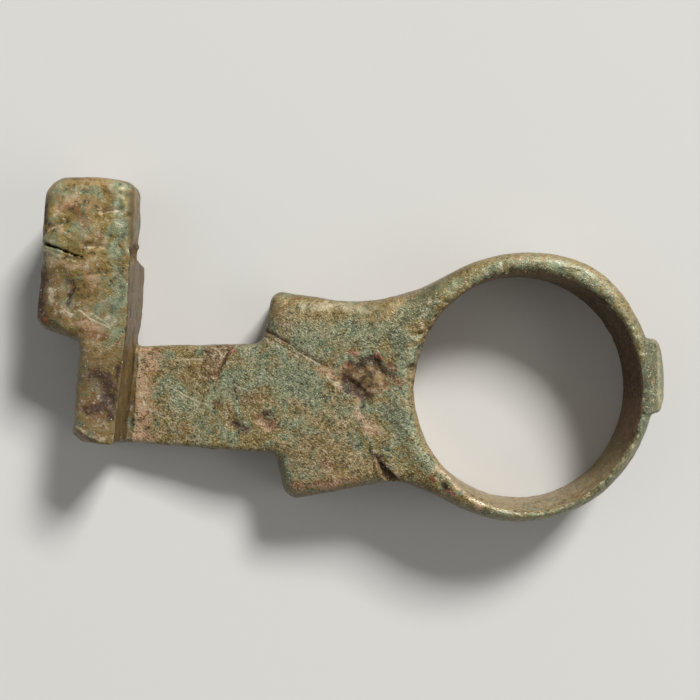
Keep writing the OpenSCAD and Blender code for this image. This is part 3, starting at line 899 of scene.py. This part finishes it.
def bronzePatina(name):
    material = newMaterial(name)
    tree = material.node_tree
    spot = addNode(tree, "ShaderNodeTexCoord", None, None, 3)

    def vector(operation, *values, output=0):
        return addNode(tree, "ShaderNodeVectorMath", {"operation": operation}, dict(enumerate(values)), output)

    def noise(scale, detail=2.0, rough=0.5, offset=0.0, at=spot, twist=0.0):
        return addNode(tree, "ShaderNodeTexNoise", {"noise_dimensions": "3D"}, {
            "Vector": vector("ADD", at, (offset, offset, offset)),
            "Scale": scale, "Detail": detail, "Roughness": rough, "Distortion": twist,
        })

    def brushed(turn, offset):
        along = addNode(tree, "ShaderNodeMapping", {"vector_type": "TEXTURE"},
                        {"Vector": spot, "Rotation": (0.0, 0.0, math.radians(turn)),
                         "Scale": (patina["stretch"], 1.0, 1.0)})
        return noise(patina["grain"], 2.0, 0.6, offset, along, 0.5)

    # frosted strokes of crust in two directions, from cleaning
    grain = brushed(patina["brush"][0], 0.0)
    grain = grain.on("MAXIMUM", grain, brushed(patina["brush"][1], 0.31)) - 0.06
    fleck = noise(patina["fleck"], 3.0, 0.6, 0.53)
    blotch = noise(patina["blotch"], 3.0, 0.6, 0.07)
    cloud = noise(patina["cloud"], 4.0, 0.6, 0.19, twist=1.2)
    hue = noise(patina["hue"], 4.0, 0.62, 0.77, twist=0.8)
    coarse, earth, dark, polish, filed, side, tan, rust = (painted(tree, layer) for layer in (
        "coarse", "earth", "dark", "polish", "filed", "side", "tan", "rust"))
    ragged = (fleck - 0.5) * 1.6 + (blotch - 0.5) * 1.3 + (grain - 0.5) * 0.9

    def paint(colour, share, over):
        return blend(tree, share, colour, tone(patina[over]))

    def lay(colour, mask, low, high, most, over):
        return paint(colour, (mask + ragged * 0.8).over(low, high) * most, over)  # with a ragged border

    colour = paint(tone(patina["sage"]), (cloud + ragged * 0.16 + coarse * 0.06).over(0.44, 0.55), "olive")
    colour = lay(colour, side, 0.2, 1.2, 0.75, "brown")
    colour = lay(colour, painted(tree, "sage"), 0.2, 1.1, 0.8, "sage")
    colour = lay(colour, painted(tree, "mossAndShade"), 0.25, 1.1, 0.8, "mossAndShade")
    colour = lay(colour, painted(tree, "umber"), 0.2, 1.1, 0.7, "umber")
    colour = lay(colour, tan, 0.15, 1.1, 0.85, "tan")
    colour = lay(colour, rust, 0.25, 1.1, 0.8, "rust")
    mixed = 0.5 + coarse * 0.25
    patch = hue + ragged * 0.12
    colour = paint(colour, patch.over(0.53, 0.62) * mixed, "olive")
    colour = paint(colour, patch.over(0.54, 0.7) * coarse * 0.7, "umber")
    colour = paint(colour, (1 - patch).over(0.56, 0.64) * mixed, "sage")
    colour = paint(colour, (blotch + hue * 0.5).over(0.84, 1.0) * mixed, "rust")
    colour = lay(colour, painted(tree, "pink"), 0.2, 1.2, 0.88, "pink")
    colour = lay(colour, rust + (fleck - 0.5) * 1.5, 0.6, 1.1, 0.75, "rust")
    colour = lay(colour, earth, 0.2, 0.9, 0.9, "earth")
    colour = lay(colour, tan * earth, 0.3, 0.9, 0.8, "tan")
    # dirt in hollows, cuts and pits, and the painted shade laid into the same layer, darken the colour
    colour = lay(colour, painted(tree, "hollowAndShade"), 0.3, 1.1, 0.7, "dirtAndShade")
    colour = lay(colour, dark + (fleck - 0.5) * 2.0, 0.25, 0.9, 0.92, "plum")
    colour = lay(colour, painted(tree, "red") + (grain - 0.5) * 2.5, 0.35, 0.8, 0.8, "red")
    colour = lay(colour, painted(tree, "bareAndHighlight"), 0.3, 1.2, 0.66, "bareAndHighlight")
    edge = (painted(tree, "wear") * side * 1.6 + ragged * 0.5).over(0.45, 1.2)
    colour = paint(colour, edge * 0.18, "bareAndHighlight")

    # file strokes run up the right side of the bit
    streak = noise(patina["file"], 3.0, 0.6, 0.0, vector("MULTIPLY", spot, (1.0, 0.05, 0.8)))
    colour = paint(colour, filed * 0.8, "brown")

    bend = (noise(patina["waver"], 2.0, 0.5, 0.91) - 0.5) * 0.0006  # no scratch is quite straight

    def line(start, end, half):
        (x0, y0), (x1, y1) = start, end
        long = math.hypot(x1 - x0, y1 - y0)
        dx, dy = (x1 - x0) / long, (y1 - y0) / long
        away = vector("SUBTRACT", spot, (x0 * mm, y0 * mm, 0.0))
        along = vector("DOT_PRODUCT", away, (dx, dy, 0.0), output=1)
        across = vector("DOT_PRODUCT", away, (-dy, dx, 0.0), output=1) + bend
        near = (1 - across.on("ABSOLUTE", across) * (1 / (half * mm))).over(0.0, 1.0)
        return near * along.over(-0.0001, 0.0003) * (long * mm - along).over(-0.0001, 0.0003)

    def allLines(lines):
        total = line(*lines[0])
        for each in lines[1:]:
            total = total.on("MAXIMUM", total, line(*each))
        return total * painted(tree, "front")

    # light frost with painted light on what stands up, painted shade in what lies low
    level = (grain - 0.5) * (2.4 - coarse * 1.5) + (fleck - 0.5) * (1.1 + coarse * 0.15 + earth * 0.5)
    level = level + (blotch - 0.5) * (0.45 + coarse * 0.6)
    level = level * (0.95 - polish * 0.4) * (1 - filed * 0.4) + filed * (streak - 0.5) * 0.75 - filed * 0.12
    litFrost = level.over(0.0, 0.36) * (0.58 - coarse * 0.1 - dark * 0.4) * (1 - side * 0.45)
    colour = paint(colour, litFrost, "creamAndLight")
    colour = paint(colour, (level * -1).over(0.0, 0.42) * 0.9, "shade")
    colour = paint(colour, allLines(darkLines) * (fleck * 0.6 + 0.5), "dirtAndShade")
    colour = paint(colour, allLines(lightLines) * (grain * 1.3 + 0.1), "bareAndHighlight")

    relief = (grain * 1.2 + fleck * 0.6) * (1.0 - coarse * 0.5) + fleck * earth * 1.4 + blotch * 0.9
    relief = (relief + filed * streak * 0.8) * (1 - polish * 0.55)
    bump = addNode(tree, "ShaderNodeBump", None,
                   {"Strength": 0.8, "Distance": patina["bump"], "Height": relief})
    wax = patina["wax"] + polish * 0.2 - dark * 0.2 - earth * 0.25 - filed * 0.25  # waxed after cleaning
    shader = addNode(tree, "ShaderNodeBsdfPrincipled", None, {
        "Base Color": colour, "Coat Weight": wax, "Coat Roughness": patina["waxRough"], "Normal": bump,
        "Metallic": patina["metal"] + polish * 0.2 + edge * 0.3,
        "Roughness": patina["rough"] + (fleck - 0.5) * 0.4 - edge * 0.06 + earth * 0.2 + dark * 0.25,
    })
    addNode(tree, "ShaderNodeOutputMaterial", None, {"Surface": shader})
    return material


bronze = bronzePatina("bronzePatina")


def grainMaterial(name):
    material = newMaterial(name)
    tree = material.node_tree
    tint = painted(tree, "tint")
    spot = addNode(tree, "ShaderNodeTexCoord", None, None, 3)
    cloud = addNode(tree, "ShaderNodeTexNoise", {"noise_dimensions": "3D"},
                    {"Vector": spot, "Scale": patina["speck"], "Detail": 3.0})
    colour = blend(tree, tint * 0.7, tone(patina["sage"]), tone(patina["creamAndLight"]))
    colour = blend(tree, cloud.over(0.45, 0.65) * 0.7, colour, tone(patina["tan"]))
    shader = addNode(tree, "ShaderNodeBsdfPrincipled", None,
                     {"Base Color": colour, "Roughness": 0.45 + (cloud - 0.5) * 0.4})
    addNode(tree, "ShaderNodeOutputMaterial", None, {"Surface": shader})
    return material


crust = {
    "Density": 8.0e6, "Smallest": 0.03 * mm, "Largest": 0.065 * mm, "Seed": 7,  # grains to the square metre
    "flat": 0.55, "tintSeed": 3,  # height to width
    "Material": grainMaterial("crustGrain"),
}


def grainTree():
    tree = bpy.data.node_groups.new("crustGrains", "GeometryNodeTree")
    kinds = {
        "Density": "NodeSocketFloat", "Smallest": "NodeSocketFloat", "Largest": "NodeSocketFloat",
        "Seed": "NodeSocketInt", "Material": "NodeSocketMaterial",
    }
    tree.interface.new_socket("Geometry", in_out="INPUT", socket_type="NodeSocketGeometry")
    for label, kind in kinds.items():
        tree.interface.new_socket(label, in_out="INPUT", socket_type=kind)
    tree.interface.new_socket("Geometry", in_out="OUTPUT", socket_type="NodeSocketGeometry")
    enter = tree.nodes.new("NodeGroupInput")

    def given(label):
        return Flow(tree, enter.outputs[label])

    share = addNode(tree, "GeometryNodeInputNamedAttribute", {"data_type": "FLOAT"}, {"Name": "grains"})
    spread = addNode(tree, "GeometryNodeDistributePointsOnFaces", None, {
        "Mesh": given("Geometry"), "Density": share * given("Density"), "Seed": given("Seed"),
    }).socket.node
    size = addNode(tree, "FunctionNodeRandomValue", {"data_type": "FLOAT"},
                   {2: given("Smallest"), 3: given("Largest"), "Seed": given("Seed")}, 1)
    flat = addNode(tree, "ShaderNodeVectorMath", {"operation": "SCALE"},
                   {0: (1.0, 1.0, crust["flat"]), "Scale": size})
    grain = addNode(tree, "GeometryNodeMeshIcoSphere", None, {"Radius": 1.0, "Subdivisions": 1})
    placed = addNode(tree, "GeometryNodeInstanceOnPoints", None, {
        "Points": Flow(tree, spread.outputs["Points"]), "Rotation": Flow(tree, spread.outputs["Rotation"]),
        "Instance": grain, "Scale": flat,
    })
    tint = addNode(tree, "FunctionNodeRandomValue", {"data_type": "FLOAT"}, {"Seed": crust["tintSeed"]}, 1)
    marked = addNode(tree, "GeometryNodeStoreNamedAttribute", {"data_type": "FLOAT", "domain": "INSTANCE"},
                     {"Geometry": placed, "Name": "tint", "Value": tint})
    real = addNode(tree, "GeometryNodeRealizeInstances", None, {"Geometry": marked})
    dressed = addNode(tree, "GeometryNodeSetMaterial", None, {"Geometry": real, "Material": given("Material")})
    addNode(tree, "NodeGroupOutput", None, {"Geometry": dressed})
    return tree


scatter = castKey.modifiers.new("scatter", "NODES")
scatter.node_group = grainTree()
for item in scatter.node_group.interface.items_tree:
    if item.in_out == "INPUT" and item.name in crust:
        scatter[item.identifier] = crust[item.name]
grains = makeObject("crust_grains", plainMesh(castKey))
castKey.modifiers.remove(scatter)
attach(grains, "root")
print("grains:", len(grains.data.polygons), "faces")

for name, piece in pieces.items():
    piece.data.materials.clear()
    piece.data.materials.append(bronze)
    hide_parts(name)
    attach(piece, "root")
bpy.data.objects.remove(castKey)
print("pieces dressed")


# Floor, light and camera

stage = {
    "floor": "#d9d7d2", "rough": 0.85, "glare": 0.1, "reach": 2500, "drop": 0.03,  # a gap under the key
    "camera": (-14.087, 2.974, 100.0), "sensor": 36, "focal": 1188.3 / 700 * 36, "world": 0.16,
}

floorMaterial = bpy.data.materials.new("paleFloor")
floorMaterial.use_nodes = True
floorPaint = floorMaterial.node_tree.nodes["Principled BSDF"].inputs
floorPaint["Base Color"].default_value = tone(stage["floor"])
floorPaint["Roughness"].default_value = stage["rough"]
floorPaint["Specular IOR Level"].default_value = stage["glare"]  # little at low angles
reach, low = stage["reach"], -stage["drop"]
corners = [(x * reach, y * reach, low) for x, y in ((-1, -1), (1, -1), (1, 1), (-1, 1))]
floorMesh = makeMesh("floor", corners, [(0, 1, 2, 3)])
floorMesh.materials.append(floorMaterial)
makeObject("floor", floorMesh)

lamps = {
    "keyLight": {"at": (900, 1425, 1275), "size": 525, "power": 53.75},
    "fillLight": {"at": (-570, 60, 510), "size": 600, "power": 0.54},
    "rimLight": {"at": (480, -120, 360), "size": 360, "power": 0.54},
}
for name, lamp in lamps.items():
    light = bpy.data.lights.new(name, "AREA")
    light.size = lamp["size"] * mm
    light.energy = lamp["power"]
    obj = makeObject(name, light)
    at = np.array(lamp["at"]) * mm
    obj.location = at
    aim = np.array(stage["camera"]) * mm * np.array([1, 1, 0]) - at
    flat = math.hypot(aim[0], aim[1])
    obj.rotation_euler = (math.atan2(flat, -aim[2]), 0, math.atan2(aim[1], aim[0]) - math.pi / 2)

world = bpy.data.worlds.new("studio")
bpy.context.scene.world = world
world.use_nodes = True
sky = world.node_tree.nodes["Background"].inputs
sky["Color"].default_value = (1.0, 1.0, 1.0, 1.0)
sky["Strength"].default_value = stage["world"]

camera = bpy.data.cameras.new("camera")
camera.sensor_width = stage["sensor"]
camera.lens = stage["focal"]
camera.clip_start = 1 * mm
cameraObject = makeObject("camera", camera)
cameraObject.location = [c * mm for c in stage["camera"]]
bpy.context.scene.camera = cameraObject
bpy.context.scene.view_settings.view_transform = "Standard"
print("stage set")
